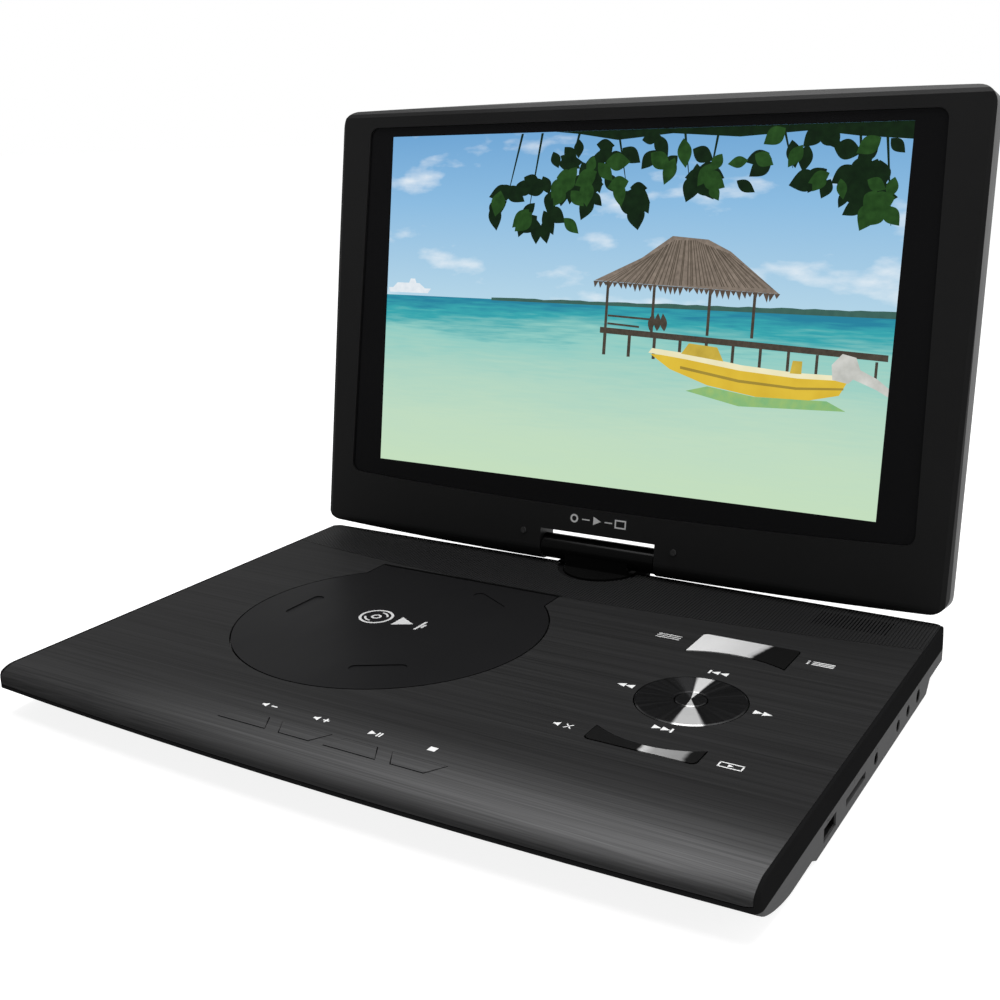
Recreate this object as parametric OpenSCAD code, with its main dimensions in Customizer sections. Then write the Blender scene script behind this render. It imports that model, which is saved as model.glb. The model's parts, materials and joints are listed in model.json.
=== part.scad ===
// Portable disc player with a swivelling and folding screen.
// Millimetres. +Z up, +Y to the rear, +X to the right of the person using it.
// The origin is on the table, under the middle of the open player's bounding box.

/* [Base] */
// Width of the base across the sides
base_w = 357.2; // [340:1:380]
// Distance from the datum to the front edge
base_front = 153; // [148:0.5:158]
// Distance from the datum to the rear edge
base_rear = 95.3; // [92:0.1:98]
// Height of the deck above the table
deck_z = 22; // [22:0.5:26]
// Height at which the upper and lower shells meet
split_z = 12.5; // [12:0.1:13]
// Height of the belly above the table
belly_z = 0.8; // [0.6:0.1:1]
// Height of the front edge's foremost line
tip_z = 14.5; // [14:0.1:16]
// Length of the rounded front of the deck
nose_len = 11; // [9:0.5:13]
// Length over which the underside rises to the front edge
keel_len = 32; // [28:1:36]
// Radius of the gentle arc of the front edge
bow_r = 3230; // [3000:10:4000]

/* [Disc bay] */
// Middle of the disc, across
disc_x = -52.5; // [-56:0.5:-48]
// Middle of the disc, front to back
disc_y = -20.7; // [-24:0.1:-18]
// Radius of the disc door
door_r = 75.2; // [74:0.1:77]

/* [Screen] */
// Width of the display
display_w = 286.5; // [270:0.5:295]
// Height of the display
display_h = 181; // [170:0.5:184]
// Distance from the tilt axis to the display's lower edge
display_v = 35.9; // [34:0.1:38]
// Angle that the screen leans back from upright
lean = 9.151; // [0:0.5:60]
// Height of the tilt axis above the table
hinge_z = 29.9; // [29.9:0.1:31]
// Distance from the tilt axis to the screen's top edge
lid_top = 232.9; // [228:0.1:236]

/* [Keys] */
// Middle of the round navigation pad, across
nav_x = 107.4; // [105:0.1:110]
// Middle of the round navigation pad, front to back
nav_y = -34; // [-36:0.1:-32]
// Radius of the navigation pad
nav_r = 22.9; // [22:0.1:24]
// Distance between neighbouring front keys
front_pitch = 27.06; // [26.5:0.01:28]

/* [Hidden] */

// Base
half_w = base_w/2;
rim_x = half_w - 0.7;
seat_x = rim_x - 1.3;
foot_z = tip_z + 0.7;
nose_z = 3.8;
tail_z = 6.9;
keel_power = 1.55;
bow_centre = bow_r - base_front;
bow_angle = 7.4;
origin_y = 6.7;
shell_wall = 1.8;
deck_t = 1.0;
roof_t = 2.6;
front_r = 6;
rear_r = 6;
band_y = 46.8;
band_rise = 14;
floor_z = belly_z + shell_wall;
roof_z = deck_z - roof_t;

// Turret, on the swivel axis at (0, hinge_y)
hinge_y = 96;
lobe_r = 26;
lobe_top = deck_z - 0.25;
turret_r = 20;
turret_z = 18.3;
spigot_r = 12;
barrel_r = 6.75;
barrel_half = 32.8;
notch_half = 33.4;
notch_v = 9.9;
shaft_r = 3;

// Screen
lid_front = 7.0;
lid_back = 7.2;
lid_half_low = 179.3;
lid_half_top = 177.5;
lid_r = 9;
lid_low = 7.5;
lid_rise = 4;
recess = 1.2;
mask_t = 0.6;

// Disc bay
door_half = 54;
door_axis_y = 45.2;
door_axis_z = 19.9;
door_roll = deck_z - door_axis_z;
door_t = 1.5;
door_gap = 0.75;
pin_r = 0.8;
well_r = 73.2;
well_half = 50;
well_floor = 14.2;
rod_dy = 17;
rod_z = 8.4;
screw_dy = 24;
screw_r = 1.5;
lens_x = disc_x + 24;
hub_r = 7.35;
sled_travel = 34;

// Keys
front_key_x = -42.2;
front_key_back = -127.4;
front_key_nose = -135.6;
key_narrow = 7.3;
key_wide = 12.3;
key_r = 2.5;
port_z = 6.8;
posts = [[-150, -106, nose_z], [0, -106, nose_z], [150, -106, nose_z],
         [-120, 48, belly_z], [100, 48, belly_z]];
feet = [[-158, -80], [158, -80], [-158, 50], [158, 50]];

SMOOTH = 96;

// ---------- outlines and helpers ----------

function arc(cx, cy, r, a0, a1, n = 8) =
  [for (i = [0:n]) let (a = a0 + (a1 - a0)*i/n) [cx + r*cos(a), cy + r*sin(a)]];

// A curve from the front edge's foremost line, len back and high up or down, drawn t inside
function nose(t, len, high, power, n) =
  [for (i = [0:n]) let (p = 90*i/n)
    [len - base_front - (len - t)*pow(cos(p), 2/power),
     tip_z + (high - sign(high)*t)*pow(sin(p), 2/power)]];

// Side view of the base, t inside its surface
function side_view(t) = let (keel = nose(t, keel_len, nose_z - tip_z, keel_power, 14)) concat(
  nose(t, nose_len, deck_z - tip_z, 2, 12),
  [[base_rear + 35, deck_z - t], [base_rear + 35, tail_z + t], [61, tail_z + t],
   [55, belly_z + t], [-95, belly_z + t], [-101, nose_z + t]],
  [for (i = [14:-1:1]) keel[i]]);

// Plan of the base, t inside its edge. Each front corner's arc runs on as a straight
// line past the front, so that it crosses the swept front edge cleanly.
function plan(t) =
  let (w = half_w - t, cf = w - front_r, cr = w - rear_r, y = base_rear - t,
       rr = bow_r - t, yf = bow_centre - sqrt(rr*rr - cf*cf), on = 40, a = 80)
  concat(
    [[cf + front_r*cos(a) - on*sin(a), yf + front_r*(1 - sin(a)) - on*cos(a)]],
    arc(cf, yf + front_r, front_r, -a, 0),
    arc(cr, y - 1 - rear_r, rear_r, 0, 90),
    [[0, y]],
    arc(-cr, y - 1 - rear_r, rear_r, 90, 180),
    arc(-cf, yf + front_r, front_r, 180, 180 + a),
    [[on*sin(a) - cf - front_r*cos(a), yf + front_r*(1 - sin(a)) - on*cos(a)]]);

// Front view of the base: a slanted rim above the joint line, a soft lower edge below it
function front_view(t) =
  let (w = half_w - t, x = rim_x - t)
  [[x - 1, deck_z + 1], [x, deck_z - 0.3], [w, split_z], [w, belly_z + 0.6],
   [w - 1.5, belly_z - 0.9], [1.5 - w, belly_z - 0.9], [-w, belly_z + 0.6],
   [-w, split_z], [-x, deck_z - 0.3], [1 - x, deck_z + 1]];

// Sweeps a side view along the gentle arc of the front edge
module bow(points) {
  translate([0, bow_centre, 0])
    rotate([0, 0, -90 - bow_angle/2])
      rotate_extrude(angle = bow_angle, $fn = 1440)
        polygon([for (p = points) [bow_centre - p[0], p[1]]]);
}

module form(t) {
  intersection() {
    bow(side_view(t));
    linear_extrude(deck_z + 5) polygon(plan(t));
    rotate([90, 0, 0]) linear_extrude(400, center = true) polygon(front_view(t));
  }
}

// Everything that belongs to the upper shell
module upper_zone() {
  box([-half_w - 5, -base_front - 10, split_z], [half_w + 5, base_rear + 40, deck_z + 8]);
}

module box(low, high) {
  translate(low) cube(high - low);
}

// Extrudes a side view, given as (y, z), across the width
module across(w) {
  rotate([90, 0, 90]) linear_extrude(w, center = true) children();
}

// Extrudes a front view, given as (x, z), from y0 back to y1
module slab(y0, y1) {
  translate([0, y1, 0]) rotate([90, 0, 0]) linear_extrude(y1 - y0) children();
}

module rod_x(x0, x1, y, z, r) {
  translate([x0, y, z]) rotate([0, 90, 0]) cylinder(h = x1 - x0, r = r, $fn = 48);
}

// Front edge of the ribbed rear band
function band_edge(d) =
  [for (i = [0:24]) let (x = -half_w + base_w*i/24) [x, band_y + d + band_rise*pow(x/half_w, 2)]];

// The disc door from above, t outside its edge: round, with a straight hinge edge at the rear
module door_outline(t) {
  intersection() {
    union() {
      translate([disc_x, disc_y]) circle(r = door_r + t, $fn = 180);
      translate([disc_x - door_half - t, disc_y]) square([2*door_half + 2*t, 90]);
    }
    translate([disc_x - 90, disc_y - 90]) square([180, door_axis_y + door_roll + t - disc_y + 90]);
  }
}

module well_outline(t) {
  translate([disc_x, disc_y]) circle(r = well_r + t, $fn = 180);
  translate([disc_x - well_half - t, disc_y]) square([2*well_half + 2*t, 41 + t - disc_y]);
}

// What is taken off a square corner at (x, y), facing the quarter turn q, to round it
module corner_cut(x, y, q) {
  translate([x, y]) rotate(90*q) translate([-key_r, -key_r]) difference() {
    square(key_r + 1);
    circle(r = key_r, $fn = 48);
  }
}

// A key with one edge curved round the navigation pad
module arc_key(r, x0, x1, y_edge, above, t) {
  difference() {
    translate([x0 - t, min(y_edge, nav_y) - t])
      square([x1 - x0 + 2*t, abs(y_edge - nav_y) + 2*t]);
    corner_cut(x1 + t, y_edge + (above ? t : -t), above ? 0 : 3);
    corner_cut(x0 - t, y_edge + (above ? t : -t), above ? 1 : 2);
    translate([nav_x, nav_y]) circle(r = r - t, $fn = 180);
    if (above) translate([x0 - 5, nav_y - 60]) square([60, 60 + 8]);
    if (!above) translate([x0 - 5, nav_y - 30]) square([60, 60]);
  }
}

module setup_outline(t) arc_key(51.6, 85, 130, 34.2, true, t);

module mute_outline(t) arc_key(44.4, 84.3, 130, -83.2, false, t);

// The front keys are trapezoids, turned about in turn
module front_key_outline(i, t) {
  back = i % 2 == 0 ? key_narrow : key_wide;
  nose = i % 2 == 0 ? key_wide : key_narrow;
  translate([front_key_x + i*front_pitch, 0])
    polygon([[-back - t, front_key_back + t], [-nose - t, front_key_nose - t],
             [nose + t, front_key_nose - t], [back + t, front_key_back + t]]);
}

module key_holes(t) {
  translate([nav_x, nav_y]) circle(r = nav_r + 0.5 + t, $fn = SMOOTH);
  setup_outline(0.5 + t);
  mute_outline(0.5 + t);
  for (i = [0:3]) front_key_outline(i, 0.4 + t);
}

// ---------- base shells ----------

module bottom_shell() {
  color("dimgray") difference() {
    union() {
      difference() {
        union() {
          form(0);
          translate([0, hinge_y, tail_z + 0.5])
            cylinder(h = split_z - tail_z + 0.5, r = lobe_r, $fn = SMOOTH);
        }
        form(shell_wall);
        translate([0, hinge_y, tail_z + 0.5 + shell_wall]) cylinder(h = 20, r = lobe_r - 2, $fn = SMOOTH);
        upper_zone();
      }
      for (p = posts) translate([p[0], p[1], p[2] + 0.5])
        cylinder(h = split_z - 0.6 - p[2], r = 3.4, $fn = 48);
    }
    for (p = posts) {
      translate([p[0], p[1], 0]) cylinder(h = 20, r = 1.6, $fn = 32);
      translate([p[0], p[1], 0]) cylinder(h = p[2] + 3.2, r = 2.6, $fn = 32);
    }
    side_ports();
    // Slots for cooling, in the belly
    for (i = [0:9]) box([60 + i*7, -60, belly_z - 1], [63 + i*7, -36, floor_z + 1]);
    // Window of the power switch, in the left side
    box([-half_w - 1, 14, 4.9], [-half_w + shell_wall + 1, 28, 9.3]);
  }
}

module side_ports() {
  for (p = [[45.6, 2.9], [28.9, 2.5], [13.2, 2.5], [-18.9, 2.5]])
    rod_x(half_w - 3, half_w + 1, p[0], port_z, p[1] + 0.1);
  box([half_w - 3, -58, 5.3], [half_w + 1, -33.4, 8.3]);
  box([half_w - 3, -83.8, 4.1], [half_w + 1, -69.8, 9.7]);
}

module top_shell() {
  color([0.04, 0.04, 0.045]) difference() {
    union() {
      difference() {
        intersection() {
          union() {
            form(0);
            translate([0, hinge_y, tail_z + 0.5])
              cylinder(h = lobe_top - tail_z - 0.5, r = lobe_r, $fn = SMOOTH);
          }
          upper_zone();
        }
        form(roof_t);
        translate([0, hinge_y, 5]) cylinder(h = turret_z - 1.6 - 5, r = lobe_r - 2, $fn = SMOOTH);
        // Shallow seat of the deck plate and the rear band
        intersection() {
          box([-seat_x, -base_front - 5, foot_z], [seat_x, base_rear - 2, deck_z + 5]);
          difference() {
            box([-half_w, -base_front - 6, 0], [half_w, base_rear + 5, deck_z + 6]);
            form(deck_t);
          }
        }
      }
      for (p = posts) translate([p[0], p[1], split_z + 0.1])
        cylinder(h = deck_z - deck_t - 0.4 - split_z, r = 3.4, $fn = 48);
      // Ears that carry the disc door's pins
      for (s = [-1, 1]) box(
        [disc_x + s*(door_half + 3.3) - 2.9, door_axis_y - 2.6, 17.6],
        [disc_x + s*(door_half + 3.3) + 2.9, door_axis_y + 2.6, deck_z - deck_t - 0.2]);
    }
    for (p = posts) translate([p[0], p[1], split_z - 1]) cylinder(h = 6, r = 1.3, $fn = 32);
    translate([0, 0, 15]) linear_extrude(20) door_outline(door_gap);
    translate([0, 0, 8]) linear_extrude(20) key_holes(0.3);
    rod_x(disc_x - door_half - 5, disc_x - door_half, door_axis_y, door_axis_z, pin_r + 0.05);
    rod_x(disc_x + door_half, disc_x + door_half + 5, door_axis_y, door_axis_z, pin_r + 0.05);
    translate([0, hinge_y, turret_z - 0.1]) cylinder(h = 10, r = turret_r + 0.35, $fn = SMOOTH);
    translate([0, hinge_y, 10]) cylinder(h = 20, r = spigot_r + 0.4, $fn = SMOOTH);
    speaker_slots();
  }
}

// Slots that let the speakers sound through the ribbed band
module speaker_slots() {
  for (s = [-1, 1]) for (i = [0:8]) box([s*140 - 17 + i*4, 70, 15], [s*140 - 15.4 + i*4, 86, 30]);
}

module deck_skin() {
  difference() {
    form(0);
    form(deck_t);
    translate([0, hinge_y, 0]) cylinder(h = 60, r = 23.3, $fn = SMOOTH);
  }
}

module deck_plate() {
  color([0.19, 0.19, 0.2]) difference() {
    intersection() {
      deck_skin();
      translate([0, 0, foot_z + 0.3]) linear_extrude(30)
        polygon(concat(band_edge(0), [[half_w, -base_front - 5], [-half_w, -base_front - 5]]));
      box([0.15 - seat_x, -200, 0], [seat_x - 0.15, 200, 40]);
    }
    translate([0, 0, 8]) linear_extrude(20) door_outline(door_gap);
    translate([0, 0, 8]) linear_extrude(20) key_holes(0);
  }
}

module rear_band() {
  color([0.16, 0.16, 0.17]) difference() {
    intersection() {
      deck_skin();
      translate([0, 0, 15]) linear_extrude(30)
        polygon(concat(band_edge(0.4), [[half_w, base_rear - 2.2], [-half_w, base_rear - 2.2]]));
      box([0.15 - seat_x, -200, 0], [seat_x - 0.15, 200, 40]);
    }
    translate([0, 0, 15]) linear_extrude(20) door_outline(door_gap + 0.05);
    speaker_slots();
  }
}

module rubber_feet() {
  color([0.08, 0.08, 0.08]) for (p = feet) translate([p[0], p[1], 0])
    rotate_extrude($fn = 64) polygon([[0, 0], [5.7, 0], [6, 0.3], [6, belly_z], [0, belly_z]]);
}

module shell_screws() {
  color("silver") for (p = posts) translate([p[0], p[1], p[2] + 0.8]) difference() {
    union() {
      cylinder(h = 2.4, r = 2.4, $fn = 32);
      cylinder(h = 16.5 - p[2], r = 1.25, $fn = 32);
    }
    box([-1.8, -0.35, -1], [1.8, 0.35, 0.9]);
    box([-0.35, -1.8, -1], [0.35, 1.8, 0.9]);
  }
}

// ---------- inside the base ----------

module disc_well() {
  color([0.12, 0.12, 0.12]) difference() {
    union() {
      translate([0, 0, well_floor - 1.4]) linear_extrude(roof_z - 0.1 - well_floor + 1.4) well_outline(1.5);
      translate([0, 0, roof_z - 1.2]) linear_extrude(1.1) intersection() {
        translate([disc_x, disc_y]) circle(r = door_r + 3.5, $fn = 180);
        translate([disc_x - 90, disc_y - 90]) square([180, 130]);
      }
    }
    translate([0, 0, well_floor]) linear_extrude(20) well_outline(0);
    translate([disc_x, disc_y, 0]) cylinder(h = 40, r = 6, $fn = 64);
    box([lens_x - 8, disc_y - 9, 0], [lens_x + sled_travel + 8, disc_y + 9, 40]);
    // Room for the door's rolled hinge edge
    rod_x(disc_x - door_half - 1, disc_x + door_half + 1, door_axis_y, door_axis_z, door_roll + 0.4);
  }
}

module loader_frame() {
  color("silver") difference() {
    union() {
      box([disc_x - 42, disc_y - 34, 11.2], [disc_x + 92, disc_y + 34, 12.4]);
      for (s = [-1, 1]) for (x = [disc_x + 5.5, disc_x + 73])
        box([x, disc_y + s*rod_dy - 2.4, 5.6], [x + 3, disc_y + s*rod_dy + 2.4, 11.3]);
      box([disc_x + 73, disc_y - screw_dy - 2.2, 5.6], [disc_x + 76, disc_y - screw_dy + 2.2, 11.3]);
    }
    translate([disc_x, disc_y, 0]) cylinder(h = 20, r = 4.05, $fn = 48);
    box([lens_x - 8, disc_y - 9, 0], [lens_x + sled_travel + 8, disc_y + 9, 40]);
    for (s = [-1, 1]) rod_x(disc_x, disc_x + 90, disc_y + s*rod_dy, rod_z, 1.02);
    rod_x(disc_x + 60, disc_x + 90, disc_y - screw_dy, rod_z, 1.05);
    // Window that the sled's motor stands in
    box([disc_x - 6.5, disc_y - screw_dy - 4.5, 11], [disc_x + 12.1, disc_y - screw_dy + 4.5, 13]);
  }
}

module guide_rods() {
  color("lightgray") for (s = [-1, 1])
    rod_x(disc_x + 5.6, disc_x + 76, disc_y + s*rod_dy, rod_z, 1);
}

module lead_screw() {
  color("gainsboro") {
    difference() {
      rod_x(disc_x + 14, disc_x + 72.6, disc_y - screw_dy, rod_z, screw_r);
      for (i = [0:17]) translate([disc_x + 16 + i*3, disc_y - screw_dy, rod_z]) rotate([0, 90, 0])
        rotate_extrude($fn = 48) polygon([[1.2, 0.6], [2, 0], [2, 1.2]]);
    }
    rod_x(disc_x + 72.6, disc_x + 75.5, disc_y - screw_dy, rod_z, 1);
    rod_x(disc_x + 11.2, disc_x + 14, disc_y - screw_dy, rod_z, 0.9);
  }
}

module sled_motor() {
  color("silver") difference() {
    union() {
      rod_x(disc_x - 6, disc_x + 12, disc_y - screw_dy, rod_z, 4.3);
      box([disc_x + 12, disc_y - screw_dy - 4.3, rod_z - 3], [disc_x + 13.2, disc_y - screw_dy + 4.3, 11.2]);
    }
    rod_x(disc_x + 9, disc_x + 14, disc_y - screw_dy, rod_z, 0.95);
  }
}

module spindle_motor() {
  color("silver") difference() {
    union() {
      translate([disc_x, disc_y, 5]) cylinder(h = 6.2, r = 11.3, $fn = SMOOTH);
      translate([disc_x, disc_y, 5]) cylinder(h = 7.6, r = 4, $fn = 48);
    }
    translate([disc_x, disc_y, 6]) cylinder(h = 20, r = 1.04, $fn = 32);
  }
}

module turntable() {
  color([0.15, 0.15, 0.15]) {
    translate([disc_x, disc_y, 6.3]) cylinder(h = 9.6, r = 1, $fn = 32);
    translate([disc_x, disc_y, 15.6]) rotate_extrude($fn = SMOOTH)
      polygon([[0, 0], [15.6, 0], [16, 0.4], [16, 1], [15.4, 1.4], [9, 1.4], [hub_r, 1.4],
               [hub_r, 3], [6.2, 4], [0, 4]]);
  }
}

module hub_clips() {
  color("gainsboro") for (i = [0:2]) rotate_about_disc(120*i)
    box([-1, hub_r, 17.3], [1, hub_r + 0.15, 18.2]);
}

module rotate_about_disc(a) {
  translate([disc_x, disc_y, 0]) rotate([0, 0, a]) children();
}

module pickup_sled() {
  color("gray") difference() {
    union() {
      box([lens_x - 10, disc_y - 20, 5.6], [lens_x + 10, disc_y + 20, 10.8]);
      box([lens_x - 7, disc_y - 8, 10.7], [lens_x + 7, disc_y + 8, 13.2]);
      box([lens_x - 4, disc_y - screw_dy - 2.6, 5.6], [lens_x + 4, disc_y - 19, 6.5]);
      box([lens_x - 4, disc_y - screw_dy + 2, 5.6], [lens_x + 4, disc_y - 19, 10.8]);
    }
    for (s = [-1, 1]) rod_x(disc_x, disc_x + 90, disc_y + s*rod_dy, rod_z, 1.05);
    translate([lens_x, disc_y, 12]) cylinder(h = 5, r = 3.6, $fn = 48);
  }
}

module pickup_lens() {
  color("powderblue") translate([lens_x, disc_y, 12]) {
    cylinder(h = 1.6, r = 3.4, $fn = 48);
    translate([0, 0, 0.6]) intersection() {
      sphere(r = 2.6, $fn = 48);
      cylinder(h = 5, r = 2.6, $fn = 48);
    }
  }
}

module chassis_dampers() {
  color("black") for (x = [disc_x - 37, disc_x + 86]) for (s = [-1, 1])
    translate([x, disc_y + s*29, floor_z]) rotate_extrude($fn = 48)
      polygon([[0, 0], [4, 0], [4, 3], [3, 3.6], [4, 4.2], [4, 11.2 - floor_z], [0, 11.2 - floor_z]]);
}

module main_board() {
  color("darkgreen") difference() {
    box([42, -90, 9.8], [175.5, 50, 11.2]);
    for (p = [[48, -84], [168, -84], [48, 44], [168, 44]])
      translate([p[0], p[1], 0]) cylinder(h = 20, r = 1.5, $fn = 32);
    translate([100, 48, 0]) cylinder(h = 20, r = 7, $fn = 48);
  }
}

module board_chips() {
  color([0.1, 0.1, 0.1]) {
    box([70, -20, 11.2], [90, 0, 12.6]);
    box([100, -22, 11.2], [112, -10, 12.4]);
    box([62, 12, 11.2], [84, 22, 12.4]);
    box([120, 10, 11.2], [134, 30, 12.8]);
    for (i = [0:5]) translate([60 + i*8, 34, 11.2]) cylinder(h = 4, r = 2.6, $fn = 32);
  }
}

module key_board() {
  color("darkgreen") box([80, -90, 15.2], [135, 38, 16.4]);
}

module key_switches() {
  color("gainsboro") {
    for (p = [[nav_x, nav_y], [90, 26], [125, 26], [89, -80], [126, -80]])
      translate([p[0], p[1], 16.4]) cylinder(h = 0.8, r = 2.5, $fn = 32);
    for (i = [0:3]) translate([nav_x + 17*cos(90*i), nav_y + 17*sin(90*i), 16.4])
      cylinder(h = 0.8, r = 2.2, $fn = 32);
    for (i = [0:3]) translate([front_key_x + i*front_pitch, 0, 0])
      box([-2.5, -134, 9.4], [2.5, -129, 10.8]);
  }
}

module front_key_board() {
  color("darkgreen") box([-58, -136, 8.2], [55, -120, 9.4]);
}

module battery_cells() {
  color("royalblue") for (i = [0:2])
    box([-174, -84 + i*47, floor_z + 0.4], [-135, -39 + i*47, 17.5]);
}

module speaker(x) {
  color([0.15, 0.15, 0.16]) translate([x, 78, 0]) difference() {
    union() {
      intersection() {
        box([-21, -12, 16.6], [21, 12, 18.6]);
        cylinder(h = 40, r = 21, $fn = 64);
      }
      translate([0, 0, 9.2]) cylinder(h = 5, r = 9, $fn = 48);
      translate([0, 0, 14]) cylinder(h = 2.8, r1 = 8, r2 = 11.4, $fn = 64);
    }
    translate([0, 0, 15.2]) cylinder(h = 4, r1 = 5, r2 = 11, $fn = 64);
  }
}

module left_speaker() speaker(-140);

module right_speaker() speaker(140);

// ---------- sockets on the right side ----------

module round_jack(y, barrel, bore) {
  difference() {
    union() {
      box([half_w - 15, y - 3.2, 3.9], [half_w - 3.2, y + 3.2, 9.8]);
      rod_x(half_w - 4, half_w - 0.4, y, port_z, barrel);
    }
    rod_x(half_w - 13, half_w + 1, y, port_z, bore);
  }
}

module dc_jack() {
  color("black") {
    round_jack(45.6, 2.9, 2.4);
    rod_x(half_w - 14, half_w - 3, 45.6, port_z, 0.8);
  }
}

module av_in_jack() color("black") round_jack(28.9, 2.5, 1.8);

module av_out_jack() color("black") round_jack(13.2, 2.5, 1.8);

module phone_jack() color("black") round_jack(-18.9, 2.5, 1.8);

module card_slot() {
  color([0.1, 0.1, 0.1]) difference() {
    box([half_w - 30, -58.6, 4.4], [half_w - 3.1, -32.8, 9.8]);
    box([half_w - 28, -57.7, 5.6], [half_w + 1, -33.7, 8.0]);
  }
}

module usb_socket() {
  color("silver") difference() {
    box([half_w - 15, -83.6, 4.3], [half_w - 0.6, -70, 9.5]);
    box([half_w - 14, -83.1, 4.8], [half_w + 1, -70.5, 9.0]);
  }
  color("white") box([half_w - 14.2, -82.2, 7.2], [half_w - 2, -71.4, 8.6]);
}

module power_switch() {
  color("black") {
    box([-half_w + 0.3, 15, 5.3], [-half_w + 2.6, 20.4, 8.9]);
    box([-half_w - 0.7, 15.9, 5.9], [-half_w + 0.5, 19.5, 8.3]);
  }
}

// ---------- disc door ----------

module disc_door() {
  color([0.13, 0.13, 0.14]) {
    difference() {
      union() {
        translate([0, 0, deck_z - door_t]) linear_extrude(door_t) intersection() {
          door_outline(0);
          translate([disc_x - 90, disc_y - 90]) square([180, door_axis_y - disc_y + 90]);
        }
        rod_x(disc_x - door_half, disc_x + door_half, door_axis_y, door_axis_z, door_roll);
      }
      rod_x(disc_x - door_half - 1, disc_x - door_half + 4, door_axis_y, door_axis_z, pin_r + 0.01);
      rod_x(disc_x + door_half - 4, disc_x + door_half + 1, door_axis_y, door_axis_z, pin_r + 0.01);
      for (a = [-60, 60, 180]) rotate_about_disc(a - 90) translate([0, 53, deck_z - 0.5]) {
        box([-10, -3, 0], [10, 3, 2]);
        for (s = [-1, 1]) translate([s*10, 0, 0]) cylinder(h = 2, r = 3, $fn = 32);
      }
    }
  }
}

module door_pins() {
  color("silver") for (s = [-1, 1])
    translate([disc_x + s*(door_half - 0.3), 0, 0])
      rod_x(-3.6, 3.6, door_axis_y, door_axis_z, pin_r);
}

module door_strike() {
  color("silver") box([disc_x - 5, disc_y - 71, 17.6], [disc_x + 5, disc_y - 69.8, deck_z - door_t]);
}

module door_magnet() {
  color("gray") box([disc_x - 8, disc_y - 80, 14.4], [disc_x + 8, disc_y - 75.2, 17.9]);
}

// ---------- keys ----------

module nav_carrier() {
  color("gray") translate([nav_x, nav_y, 18]) difference() {
    cylinder(h = 1.4, r = 13.4, $fn = 64);
    translate([0, 0, -1]) cylinder(h = 4, r = 10.6, $fn = 64);
  }
}

module nav_ring() {
  color([0.2, 0.2, 0.21]) translate([nav_x, nav_y, 0]) rotate_extrude($fn = SMOOTH)
    polygon([[7, 18.2], [10, 18.2], [10, 20.2], [22.4, 20.2], [22.9, 20.6], [22.9, 21.9],
             [22.3, 22.3], [15, 22.55], [8, 22.55], [7, 22.3]]);
}

module enter_key() {
  color([0.2, 0.2, 0.21]) translate([nav_x, nav_y, 0]) rotate_extrude($fn = SMOOTH)
    polygon([[0, 17.95], [2, 17.95], [2, 19.2], [6.5, 19.2], [6.5, 22.3], [6.1, 22.6], [0, 22.75]]);
}

module setup_menu_key() {
  color("silver") {
    translate([0, 0, 20.3]) linear_extrude(1.9) setup_outline(0);
    for (x = [90, 125]) translate([x, 26, 18.2]) cylinder(h = 2.2, r = 1.6, $fn = 32);
  }
}

module mute_mode_key() {
  color([0.25, 0.25, 0.26]) {
    translate([0, 0, 20.3]) linear_extrude(1.9) mute_outline(0);
    for (x = [89, 126]) translate([x, -80, 18.2]) cylinder(h = 2.2, r = 1.6, $fn = 32);
  }
}

module front_key(i) {
  color([0.15, 0.15, 0.16]) {
    translate([0, 0, deck_z - 2.2]) linear_extrude(2.4) front_key_outline(i, 0);
    translate([front_key_x + i*front_pitch, -131.5, 11.7]) cylinder(h = 8.5, r = 1.5, $fn = 32);
  }
}

module vol_down_key() front_key(0);

module vol_up_key() front_key(1);

module play_key() front_key(2);

module stop_key() front_key(3);

// ---------- swivel and tilt ----------

module hinge_mount() {
  color("silver") translate([0, hinge_y, 15.1]) difference() {
    union() {
      cylinder(h = 1.5, r = 22.5, $fn = SMOOTH);
      for (s = [-1, 1]) box([s*26 - 10, -30, 0], [s*26 + 10, -8, 1.5]);
    }
    translate([0, 0, -1]) cylinder(h = 4, r = spigot_r + 0.05, $fn = SMOOTH);
    for (s = [-1, 1]) translate([s*28, -24, -1]) cylinder(h = 4, r = 1.6, $fn = 32);
  }
}

module turret() {
  color([0.05, 0.05, 0.05]) difference() {
    union() {
      translate([0, hinge_y, 15]) cylinder(h = turret_z - 15, r = spigot_r, $fn = SMOOTH);
      translate([0, hinge_y, 12.9]) cylinder(h = 3, r = 10, $fn = SMOOTH);
      translate([0, hinge_y, turret_z]) cylinder(h = deck_z - turret_z, r = turret_r, $fn = SMOOTH);
      translate([0, hinge_y, deck_z - 1]) intersection() {
        box([-18.5, -6.6, 0], [18.5, 6.6, hinge_z - deck_z + 1]);
        cylinder(h = 30, r = 19.4, $fn = SMOOTH);
      }
      rod_x(-barrel_half, barrel_half, hinge_y, hinge_z, barrel_r);
    }
    rod_x(-50, 50, hinge_y, hinge_z, shaft_r + 0.05);
    translate([0, hinge_y, 0]) cylinder(h = hinge_z - 5, r = 4, $fn = 48);
  }
}

module turret_ring() {
  color("silver") translate([0, hinge_y, 13]) difference() {
    cylinder(h = 1.9, r = 15.5, $fn = SMOOTH);
    translate([0, 0, -1]) cylinder(h = 4, r = 10.02, $fn = SMOOTH);
  }
}

// ---------- screen, drawn upright on the tilt axis and then leaned back ----------

module on_tilt() {
  translate([0, hinge_y, hinge_z]) rotate([-lean, 0, 0]) children();
}

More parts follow.
